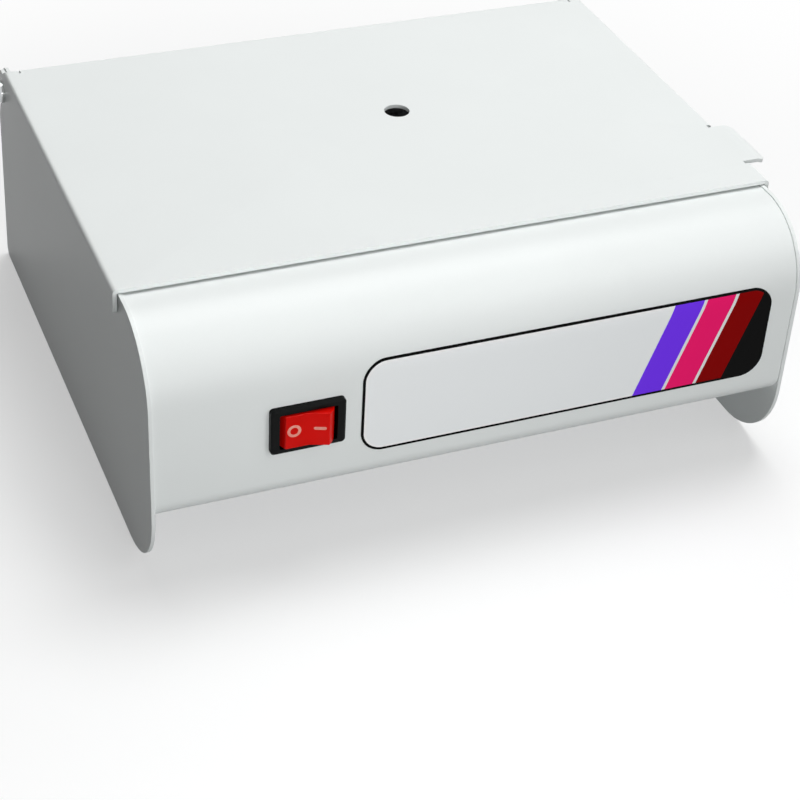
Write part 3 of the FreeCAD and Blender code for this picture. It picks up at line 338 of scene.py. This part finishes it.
def screw(x, y, low, high):
    """Lathe profile with a cross recess. From the head's middle to its rim the profile rises by the
    dome's share of the head's height times one less the root of one less the cube of the share of the
    radius. It then runs up to the seat and steps in to the shank. A point of the head in either arm of
    the recess is lifted by the recess's depth, which falls to nothing across the recess's wall."""
    share = np.linspace(head_middle_share, 1, head_rings)
    head_radius = screw_head_radius * share
    dome = 1 - np.sqrt(np.clip(1 - share ** 3, 0, 1))
    head_height = screw_head_height * head_dome_share * dome
    seat = low + screw_head_height
    radius = np.concatenate([head_radius, [screw_head_radius, screw_shank_radius, screw_shank_radius]])
    height = np.concatenate([low + head_height, [seat, seat, high]])
    across = radius[:, None] * np.cos(around)
    along = radius[:, None] * np.sin(around)
    nearest = np.minimum(np.abs(across), np.abs(along))
    furthest = np.maximum(np.abs(across), np.abs(along))
    inside = np.clip((recess_width / 2 - nearest) / recess_wall, 0, 1)
    inside = inside * np.clip((recess_length / 2 - furthest) / recess_wall, 0, 1)
    inside[len(share):] = 0
    up = height[:, None] + recess_depth * inside
    return np.stack([x + across, y + along, up], axis=-1)


screws_low, screws_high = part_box("base_screws")
screw_places = [(x, y) for x in (screws_low.x + screw_head_radius, screws_high.x - screw_head_radius)
                for y in (screws_low.y + screw_head_radius, screws_high.y - screw_head_radius)]
for number, (x, y) in enumerate(screw_places, 1):
    base_screw = closed_surface(f"base_screw_{number}", screw(x, y, screws_low.z, screws_high.z), "root",
                                ("base_screws",))
    base_screw.data.materials.append(zinc)

# Small parts of zinc plated steel: the heater's clamp, studs and nuts, the gland's nut, the fuse's
# clip, the terminal and thermostat screws, the hinge washers and the liner's studs and nuts. All are
# pressed or turned, and they keep their solids.

plated_nodes = ("heater_clamp", "heater_studs", "heater_nuts", "gland_nut", "fuse_clip", "terminal_screws",
                "thermostat_screws", "hinge_washers", "liner_studs", "liner_nuts")
for name in plated_nodes:
    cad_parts[name].material_slots[0].material = zinc

# Chamber tub: drawn aluminium, satin, with long fine draw marks on its end walls and floor, riveted
# to the deck round its rim.


def drawn_aluminium():
    """Satin aluminium: marks 0.3 mm apart and 17 mm long, and a grey with soft clouds 33 mm across."""
    mark_spacing = 0.000333
    mark_length = 0.0167
    cloud_size = 0.0333
    made, tree, shader = new_material("drawn_aluminium")
    place = add(tree, "TexCoord")
    along = add(tree, "Mapping", {"Scale": (1 / mark_length, 1 / mark_spacing, 1 / mark_length)},
                {"Vector": place.outputs["Object"]})
    marks = add(tree, "TexNoise", {"Scale": 1.0, "Detail": 2.0}, {"Vector": along.outputs[0]})
    clouds = add(tree, "TexNoise", {"Scale": 1 / cloud_size, "Detail": 3.0},
                 {"Vector": place.outputs["Object"]})
    grey = add(tree, "Mix", {mix_a: linear("#A9ACAE"), mix_b: linear("#BFC2C3")},
               {0: clouds.outputs["Fac"]}, data_type="RGBA")
    bump = add(tree, "Bump", {"Strength": 0.12, "Distance": 0.00003}, {"Height": marks.outputs["Fac"]})
    shine = add(tree, "MapRange", {"To Min": 0.36, "To Max": 0.48}, {"Value": marks.outputs["Fac"]})
    tree.id_data.links.new(grey.outputs[mix_out], shader.inputs["Base Color"])
    tree.id_data.links.new(bump.outputs[0], shader.inputs["Normal"])
    tree.id_data.links.new(shine.outputs[0], shader.inputs["Roughness"])
    shader.inputs["Metallic"].default_value = 1.0
    return made


aluminium = drawn_aluminium()
drawn_edge = 0.0002
tub = rounded_copy("chamber_tub_drawn", "chamber_tub", drawn_edge, "root")
tub.data.materials.append(aluminium)
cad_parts["rim_rivets"].material_slots[0].material = aluminium

# Insulation: ceramic fibre felt round the tub and under the heater, off-white and fibrous, cut from
# the sheet and pushed into place. Its faces are uneven by a few tenths of a millimetre.


def fibre_felt():
    """Ceramic fibre felt: off-white, matt, with tangled fibres about 1 mm long."""
    fibre_length = 0.00111
    made, tree, shader = new_material("ceramic_fibre_felt")
    place = add(tree, "TexCoord")
    fibres = add(tree, "TexNoise", {"Scale": 1 / fibre_length, "Detail": 5.0, "Distortion": 2.0},
                 {"Vector": place.outputs["Object"]})
    tint = add(tree, "Mix", {mix_a: linear("#D8D2C2"), mix_b: linear("#F2EEE4")},
               {0: fibres.outputs["Fac"]}, data_type="RGBA")
    bump = add(tree, "Bump", {"Strength": 0.6, "Distance": 0.0004}, {"Height": fibres.outputs["Fac"]})
    tree.id_data.links.new(tint.outputs[mix_out], shader.inputs["Base Color"])
    tree.id_data.links.new(bump.outputs[0], shader.inputs["Normal"])
    shader.inputs["Roughness"].default_value = 0.95
    shader.inputs["Sheen Weight"].default_value = 0.2
    return made


felt = fibre_felt()
felt_step = 0.0015
felt_lump_spacing = 0.009
felt_lump_depth = 0.00035
felt_clearance = 0.00015
# Each column is the direction of one of the two waves that make the lumps.
felt_waves = np.array([[1.0, 0.3], [0.4, 1.0], [0.7, -0.6]])


def felt_piece(name, node, body):
    """The node's solid remeshed in small even steps. Each point is then drawn in along its normal by the
    clearance and by half the lump depth times one less the product of two sine waves."""
    source = bpy.data.objects.new(name + "_source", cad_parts[node].data.copy())
    bpy.context.scene.collection.objects.link(source)
    steps = source.modifiers.new("even_steps", "REMESH")
    steps.mode = "VOXEL"
    steps.voxel_size = felt_step
    graph = bpy.context.evaluated_depsgraph_get()
    mesh = bpy.data.meshes.new_from_object(source.evaluated_get(graph))
    bpy.data.objects.remove(source)
    mesh.name = name
    count = len(mesh.vertices)
    points = np.empty(count * 3, dtype=np.float32)
    normals = np.empty(count * 3, dtype=np.float32)
    mesh.vertices.foreach_get("co", points)
    mesh.vertex_normals.foreach_get("vector", normals)
    points = points.reshape(-1, 3)
    normals = normals.reshape(-1, 3)
    turns = points @ felt_waves * 2 * np.pi / felt_lump_spacing
    lumps = felt_lump_depth / 2 * (1 - np.sin(turns[:, 0]) * np.sin(turns[:, 1]))
    points = points - normals * (lumps[:, None] + felt_clearance)
    mesh.vertices.foreach_set("co", points.astype(np.float32).ravel())
    mesh.materials.clear()
    mesh.materials.append(felt)
    mesh.shade_smooth()
    piece = bpy.data.objects.new(name, mesh)
    bpy.context.scene.collection.objects.link(piece)
    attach(piece, body)
    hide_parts(node)


felt_piece("felt_wrap", "insulation_wrap", "root")
felt_piece("felt_pad", "insulation_pad", "root")

# Heating element: a plate of pressed mica, brown and layered, with its winding sealed inside and two
# tags at its rear. The clamp presses it against the tub.


def mica_plate():
    """Pressed mica: warm brown flakes 3 mm across with a slight lustre."""
    flake_size = 0.003125
    made, tree, shader = new_material("pressed_mica")
    place = add(tree, "TexCoord")
    flakes = add(tree, "TexVoronoi", {"Scale": 1 / flake_size}, {"Vector": place.outputs["Object"]})
    tint = add(tree, "ValToRGB", links={"Fac": flakes.outputs["Color"]})
    tint.color_ramp.elements[0].color = linear("#7C6748")
    tint.color_ramp.elements[1].color = linear("#B39E78")
    tree.id_data.links.new(tint.outputs[0], shader.inputs["Base Color"])
    shader.inputs["Roughness"].default_value = 0.42
    return made


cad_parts["heating_element"].material_slots[0].material = mica_plate()

# Thermostat, fuse, terminal block, switch blades and leads: bought-in parts in their usual finishes.
# The cap, the can and the blades are metal with a soft shine, the block is cream unglazed steatite and
# the leads have pale grey silicone sleeves.


def plain_finish(name, dark, light, patch_size, roughness, metallic=0.0):
    """A finish with two close tones in soft patches of the given size, and a faint unevenness."""
    made, tree, shader = new_material(name)
    place = add(tree, "TexCoord")
    patches = add(tree, "TexNoise", {"Scale": 1 / patch_size, "Detail": 3.0},
                  {"Vector": place.outputs["Object"]})
    tint = add(tree, "Mix", {mix_a: linear(dark), mix_b: linear(light)},
               {0: patches.outputs["Fac"]}, data_type="RGBA")
    bump = add(tree, "Bump", {"Strength": 0.08, "Distance": 0.00005}, {"Height": patches.outputs["Fac"]})
    tree.id_data.links.new(tint.outputs[mix_out], shader.inputs["Base Color"])
    tree.id_data.links.new(bump.outputs[0], shader.inputs["Normal"])
    shader.inputs["Roughness"].default_value = roughness
    shader.inputs["Metallic"].default_value = metallic
    return made


silicone = plain_finish("silicone_sleeve", "#C9C8C0", "#DAD9D2", patch_size=0.002, roughness=0.55)
bought_in = {
    "thermostat": plain_finish("pressed_aluminium", "#A9AAA8", "#C6C7C5", patch_size=0.00333,
                               roughness=0.35, metallic=1.0),
    "thermal_fuse": plain_finish("plated_brass", "#B79F62", "#D2BC80", patch_size=0.00167,
                                 roughness=0.32, metallic=1.0),
    "terminal_block": plain_finish("unglazed_steatite", "#DAD3C2", "#EAE5D8", patch_size=0.00125,
                                   roughness=0.6),
    "switch_terminals": plain_finish("tinned_brass", "#BFA768", "#D9C68E", patch_size=0.002,
                                     roughness=0.3, metallic=1.0),
}
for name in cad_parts:
    if name.startswith("lead_"):
        bought_in[name] = silicone
for name, finish in bought_in.items():
    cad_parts[name].material_slots[0].material = finish

# Cord gland: moulded black nylon with an open bore for a cord, pushed in through the rear panel and
# held inside by its nut.


def black_nylon():
    """Moulded black nylon with a spark-eroded grain 0.15 mm across, drawn 0.4 mm so that it shows."""
    grain_size = 0.0004
    made, tree, shader = new_material("black_nylon")
    place = add(tree, "TexCoord")
    grain = add(tree, "TexNoise", {"Scale": 1 / grain_size, "Detail": 2.0},
                {"Vector": place.outputs["Object"]})
    tint = add(tree, "Mix", {mix_a: linear("#040505"), mix_b: linear("#0B0D0D")},
               {0: grain.outputs["Fac"]}, data_type="RGBA")
    bump = add(tree, "Bump", {"Strength": 0.12, "Distance": 0.00004}, {"Height": grain.outputs["Fac"]})
    tree.id_data.links.new(tint.outputs[mix_out], shader.inputs["Base Color"])
    tree.id_data.links.new(bump.outputs[0], shader.inputs["Normal"])
    shader.inputs["Roughness"].default_value = 0.38
    shader.inputs["Specular IOR Level"].default_value = 0.08
    return made


nylon = black_nylon()
moulded_edge = 0.0003
gland = rounded_copy("cord_gland_moulded", "cord_gland", moulded_edge, "root")
gland.data.materials.append(nylon)

# Rocker switch: black bezel snapped into the front panel, and a clear red rocker that turns on two
# moulded pins. Its off and on marks are printed in a pale ink on its two faces.

housing = rounded_copy("switch_bezel", "switch_housing", moulded_edge, "root")
housing.data.materials.append(nylon)


def red_moulding():
    """Clear red polycarbonate over a lamp that is off: deep saturated red with a soft shine, slightly
    uneven in depth in patches 7 mm across."""
    patch_size = 0.00714
    made, tree, shader = new_material("red_polycarbonate")
    place = add(tree, "TexCoord")
    depth = add(tree, "TexNoise", {"Scale": 1 / patch_size, "Detail": 1.0},
                {"Vector": place.outputs["Object"]})
    tint = add(tree, "Mix", {mix_a: linear("#D30600"), mix_b: linear("#EA0A02")},
               {0: depth.outputs["Fac"]}, data_type="RGBA")
    tree.id_data.links.new(tint.outputs[mix_out], shader.inputs["Base Color"])
    shader.inputs["Roughness"].default_value = 0.30
    shader.inputs["Specular IOR Level"].default_value = 0.12
    return made


rocker_edge = 0.0002
rocker = rounded_copy("rocker_moulding", "switch_rocker", rocker_edge, "rocker")
rocker.data.materials.append(red_moulding())

housing_low, housing_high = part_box("switch_housing")
valley_x = (housing_low.x + housing_high.x) / 2
valley_band = 0.0003
mark_rise = 0.0003
mark_height = (housing_low.z + housing_high.z) / 2 + mark_rise
mark_sides = 64
mark_steps = 12
pole_gap = 0.05
rocker_tilt = math.radians(20.0)
ink_height = 0.00005
off_mark_offset = -0.0045
off_mark_radius = 0.0016
off_mark_stroke = 0.00085
on_mark_offset = 0.0029
on_mark_length = 0.0036
on_mark_stroke = 0.0010

# The rocker's two faces meet in the valley, whose Y is that of the foremost point close to it.
count = len(rocker.data.vertices)
rocker_points = np.empty(count * 3, dtype=np.float32)
rocker.data.vertices.foreach_get("co", rocker_points)
rocker_points = rocker_points.reshape(-1, 3)
in_valley = np.abs(rocker_points[:, 0] - valley_x) < valley_band
valley_y = float(rocker_points[in_valley, 1].min())


def pale_ink():
    """Pad printed ink, pinkish white: thin, so the red below tints it in faint patches 1 mm across."""
    patch_size = 0.001
    made, tree, shader = new_material("pale_print_ink")
    place = add(tree, "TexCoord")
    cover = add(tree, "TexNoise", {"Scale": 1 / patch_size, "Detail": 1.0},
                {"Vector": place.outputs["Object"]})
    tint = add(tree, "Mix", {mix_a: linear("#EE8878"), mix_b: linear("#F8B4A6")},
               {0: cover.outputs["Fac"]}, data_type="RGBA")
    tree.id_data.links.new(tint.outputs[mix_out], shader.inputs["Base Color"])
    shader.inputs["Roughness"].default_value = 0.45
    shader.inputs["Specular IOR Level"].default_value = 0.2
    return made


def on_rocker_face(along, upwards, proud, tilt):
    """Turns places on a rocker face into the frame: along leaves the valley to the right and leans out
    by the face's tilt, upwards is up, and proud stands square off the face."""
    x = valley_x + along * math.cos(tilt) - proud * math.sin(tilt)
    y = valley_y - along * math.sin(tilt) - proud * math.cos(tilt)
    return np.stack([x, y, mark_height + upwards], axis=-1)


ink = pale_ink()
# The off mark is a ring: a flat ellipse as wide as the stroke, carried round the mark's circle.
ring_turn = np.linspace(0, 2 * np.pi, mark_sides, endpoint=False)[:, None]
section = np.linspace(0, 2 * np.pi, mark_steps, endpoint=False)[None, :]
reach = off_mark_radius + off_mark_stroke / 2 * np.cos(section)
ring_points = on_rocker_face(off_mark_offset + reach * np.cos(ring_turn), reach * np.sin(ring_turn),
                             ink_height * np.sin(section) + 0 * ring_turn, 0.0)
off_mark = closed_surface("off_mark", ring_points, "rocker", ring=True)
off_mark.data.materials.append(ink)

# The on mark is a bar with round ends: a ball as wide as the stroke, flattened to the ink's height,
# with its two halves moved apart by the length of the straight stretch between the ends.
bar_turn = np.linspace(0, 2 * np.pi, mark_sides, endpoint=False)[None, :]
rise = np.linspace(-np.pi / 2 + pole_gap, np.pi / 2 - pole_gap, mark_steps)[:, None]
half_straight = (on_mark_length - on_mark_stroke) / 2
end_reach = on_mark_stroke / 2 * np.cos(bar_turn) * np.cos(rise)
bar_along = on_mark_offset + half_straight * np.sign(np.cos(bar_turn)) + end_reach
bar_up = on_mark_stroke / 2 * np.sin(bar_turn) * np.cos(rise)
bar_points = on_rocker_face(bar_along, bar_up, ink_height * np.sin(rise) + 0 * bar_turn, rocker_tilt)
on_mark = closed_surface("on_mark", bar_points, "rocker")
on_mark.data.materials.append(ink)

# Front label: printed film stuck to the panel and up on to its shoulder. Its face is nearly white, with a
# thin black keyline, a painted highlight as a white line just inside the keyline, and leaning bars of
# colour before its black end.

label_corner = 0.007
label_keyline = 0.0008
# The painted highlight, a white line just inside the keyline, reaches this far in from the label's edge.
painted_highlight_inset = 0.0015
bar_lean = 0.35
bars_start = 0.0500
face_colour = "#FAFDFE"
# Colour of the painted highlight, the white line just inside the keyline.
painted_highlight_colour = "#FFFFFF"
key_colour = "#020202"
gap_colour = "#F2F4F4"
# Where each bar and gap begins, as a share of the way from the bars' start to the label's end.
bar_stops = ((0.02, "#7B3BFF"), (0.27, gap_colour), (0.30, "#FF1F74"), (0.54, gap_colour),
             (0.57, "#8B0000"), (0.79, key_colour))


def printed_film():
    """Screen printed polyester film, satin, with a fine even grain. The distance from the rounded corners'
    middles, which is the corner radius at the edge, picks keyline, painted highlight (a white line just
    inside the keyline) or face. The distance along the label less the height times the lean picks the
    bars."""
    low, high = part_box("front_label")
    middle = (low + high) / 2
    half = (high - low) / 2
    keyline_share = 1 - label_keyline / label_corner
    painted_highlight_share = 1 - painted_highlight_inset / label_corner
    first_bar = bar_stops[0][0]
    grain_size = 0.000667
    made, tree, shader = new_material("printed_film")
    place = add(tree, "TexCoord")
    centred = add(tree, "VectorMath", {1: middle}, {0: place.outputs["Object"]}, operation="SUBTRACT")
    folded = add(tree, "VectorMath", links={0: centred.outputs[0]}, operation="ABSOLUTE")
    straight = (half.x - label_corner, 0.0, half.z - label_corner)
    beyond = add(tree, "VectorMath", {1: straight}, {0: folded.outputs[0]}, operation="SUBTRACT")
    outside = add(tree, "VectorMath", {1: (0.0, 0.0, 0.0)}, {0: beyond.outputs[0]}, operation="MAXIMUM")
    flat = add(tree, "VectorMath", {1: (1.0, 0.0, 1.0)}, {0: outside.outputs[0]}, operation="MULTIPLY")
    reach = add(tree, "VectorMath", links={0: flat.outputs[0]}, operation="LENGTH")
    share = add(tree, "Math", {1: label_corner}, {0: reach.outputs["Value"]}, operation="DIVIDE")
    plain = add(tree, "ValToRGB", links={"Fac": share.outputs[0]})
    plain.color_ramp.interpolation = "CONSTANT"
    plain.color_ramp.elements[0].color = linear(face_colour)
    # Painted highlight: a white band just inside the keyline.
    plain.color_ramp.elements[1].position = painted_highlight_share
    plain.color_ramp.elements[1].color = linear(painted_highlight_colour)
    edge = plain.color_ramp.elements.new(keyline_share)
    edge.color = linear(key_colour)
    slanted = add(tree, "VectorMath", {1: (1.0, 0.0, -bar_lean)}, {0: centred.outputs[0]},
                  operation="DOT_PRODUCT")
    along = add(tree, "MapRange", {"From Min": bars_start - middle.x, "From Max": half.x},
                {"Value": slanted.outputs["Value"]})
    bars = add(tree, "ValToRGB", links={"Fac": along.outputs[0]})
    bars.color_ramp.interpolation = "CONSTANT"
    bars.color_ramp.elements[0].color = linear(face_colour)
    bars.color_ramp.elements[1].position = first_bar
    bars.color_ramp.elements[1].color = linear(bar_stops[0][1])
    for position, colour in bar_stops[1:]:
        bars.color_ramp.elements.new(position).color = linear(colour)
    on_bars = add(tree, "Math", {1: first_bar}, {0: along.outputs[0]}, operation="GREATER_THAN")
    on_keyline = add(tree, "Math", {1: keyline_share}, {0: share.outputs[0]}, operation="GREATER_THAN")
    with_bars = add(tree, "Mix", data_type="RGBA",
                    links={0: on_bars.outputs[0], mix_a: plain.outputs[0], mix_b: bars.outputs[0]})
    with_edge = add(tree, "Mix", {mix_b: linear(key_colour)},
                    {0: on_keyline.outputs[0], mix_a: with_bars.outputs[mix_out]}, data_type="RGBA")
    tree.id_data.links.new(with_edge.outputs[mix_out], shader.inputs["Base Color"])
    grain = add(tree, "TexNoise", {"Scale": 1 / grain_size, "Detail": 2.0},
                {"Vector": place.outputs["Object"]})
    bump = add(tree, "Bump", {"Strength": 0.06, "Distance": 0.00002}, {"Height": grain.outputs["Fac"]})
    tree.id_data.links.new(bump.outputs[0], shader.inputs["Normal"])
    shader.inputs["Roughness"].default_value = 0.40
    shader.inputs["Specular IOR Level"].default_value = 0.04
    return made


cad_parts["front_label"].material_slots[0].material = printed_film()

# Hinge pins: bright nickel plated rivets, set through the lid's ears, a washer and the side panels.
# The lid turns on them.

bright_plate = plain_finish("bright_plated_steel", "#B9BBBB", "#D2D4D4", patch_size=0.0025,
                            roughness=0.22, metallic=1.0)
for side in ("left", "right"):
    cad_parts[f"hinge_pin_{side}"].material_slots[0].material = bright_plate

# Lid: one sheet with skirts folded down at both sides, hinge ears, a folded rear edge, a lifting tab
# and a round hole for a thermometer, coated like the housing.

lid = rounded_copy("lid_coated", "lid_shell", sheet_edge, "lid")
lid.data.materials.append(white_coat)

# Lid liner: shallow pan of drawn aluminium, hung on four studs, that holds felt against the lid. The
# thermometer's bright plated sleeve passes through pan and felt.

liner = rounded_copy("lid_liner_pan", "lid_liner", drawn_edge, "lid")
liner.data.materials.append(aluminium)
felt_piece("felt_lid_filling", "lid_insulation", "lid")
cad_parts["thermometer_sleeve"].material_slots[0].material = bright_plate
